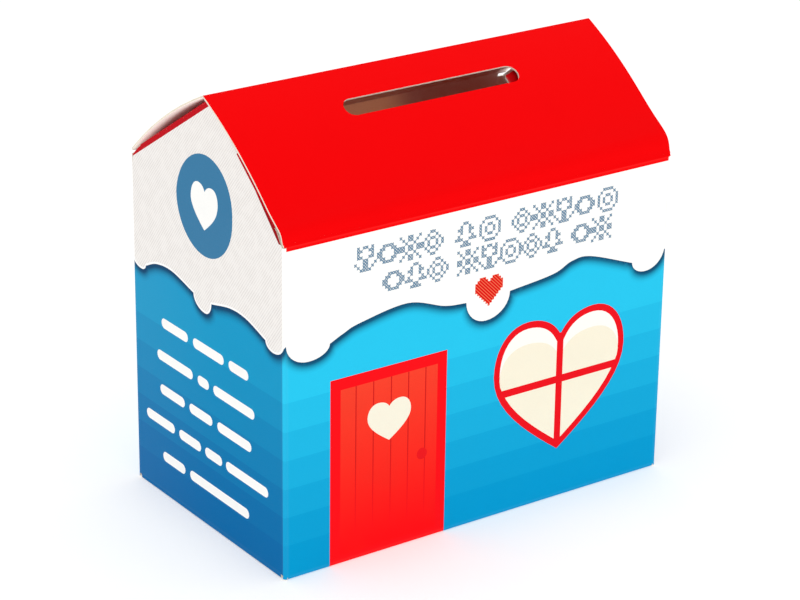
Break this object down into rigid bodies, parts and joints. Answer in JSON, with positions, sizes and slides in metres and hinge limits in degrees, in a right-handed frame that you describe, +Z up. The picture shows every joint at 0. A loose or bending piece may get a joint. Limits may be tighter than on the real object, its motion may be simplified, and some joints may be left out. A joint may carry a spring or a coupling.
{
  "type": "donation box",
  "caption": "House-shaped folding-board collecting box with a coin slot in its hinged roof, tucked lid, gable flaps and an interlocking base.",
  "frame": {"origin": "middle of the base, on the surface the box stands on", "axes": "+X along the front wall, left to right seen from the front; +Y from the front wall to the back wall; +Z up"},
  "size_m": [0.125, 0.075, 0.1223],
  "materials": {
    "wall_board": "satin",
    "roof_board": "satin",
    "flap_board": "satin",
    "base_board": "matte",
    "glue": "satin"
  },
  "bodies": {
    "root": {"front_wall": "wall_board", "back_wall": "wall_board", "left_gable_wall": "wall_board", "right_gable_wall": "wall_board", "front_left_corner_crease": "wall_board", "front_right_corner_crease": "wall_board", "back_left_corner_crease": "wall_board", "back_right_corner_crease": "wall_board", "side_seam_flap": "base_board", "side_seam_glue": "glue", "base_front_flap": "base_board", "base_back_flap": "base_board", "base_front_glue_wedge": "base_board", "base_back_glue_wedge": "base_board", "base_left_flap": "base_board", "base_right_flap": "base_board", "base_left_glue": "glue", "base_right_glue": "glue", "base_front_crease": "wall_board", "base_back_crease": "wall_board", "base_left_crease": "wall_board", "base_right_crease": "wall_board", "front_eave_crease": "roof_board", "left_front_flap_crease": "roof_board", "left_back_flap_crease": "roof_board", "right_front_flap_crease": "roof_board", "right_back_flap_crease": "roof_board"},
    "front_roof": {"front_roof_panel": "roof_board", "ridge_crease": "roof_board"},
    "back_roof": {"back_roof_panel": "roof_board", "tuck_crease": "roof_board"},
    "tuck": {"roof_tuck_flap": "flap_board"},
    "left_front_flap": {"left_front_gable_flap": "flap_board"},
    "left_back_flap": {"left_back_gable_flap": "flap_board"},
    "right_front_flap": {"right_front_gable_flap": "flap_board"},
    "right_back_flap": {"right_back_gable_flap": "flap_board"}
  },
  "joints": [
    {"name": "roof_open", "type": "hinge", "parent": "root", "child": "front_roof", "pos_m": [0, -0.03725, 0.09325], "axis": [1, 0, 0], "range_deg": [0, 110]},
    {"name": "ridge_fold", "type": "hinge", "parent": "front_roof", "child": "back_roof", "pos_m": [0, 0, 0.12205], "axis": [1, 0, 0], "range_deg": [0, 30]},
    {"name": "tuck_fold", "type": "hinge", "parent": "back_roof", "child": "tuck", "pos_m": [0, 0.03685, 0.09705], "axis": [1, 0, 0], "range_deg": [0, 25]},
    {"name": "left_front_flap_fold", "type": "hinge", "parent": "root", "child": "left_front_flap", "pos_m": [-0.06125, -0.01862, 0.1075], "axis": [0.0391, 0.8107, 0.5841], "range_deg": [0, 20]},
    {"name": "left_back_flap_fold", "type": "hinge", "parent": "root", "child": "left_back_flap", "pos_m": [-0.06117, 0.01862, 0.1087], "axis": [-0.0367, 0.8355, -0.5483], "range_deg": [0, 20]},
    {"name": "right_front_flap_fold", "type": "hinge", "parent": "root", "child": "right_front_flap", "pos_m": [0.06125, -0.01862, 0.1075], "axis": [0.0391, -0.8107, -0.5841], "range_deg": [0, 20]},
    {"name": "right_back_flap_fold", "type": "hinge", "parent": "root", "child": "right_back_flap", "pos_m": [0.06117, 0.01862, 0.1087], "axis": [-0.0367, -0.8355, 0.5483], "range_deg": [0, 20]}
  ],
  "couplings": [
    {"joint": "ridge_fold", "follows": "roof_open", "ratio": 0.25},
    {"joint": "tuck_fold", "follows": "roof_open", "ratio": 0.2}
  ]
}
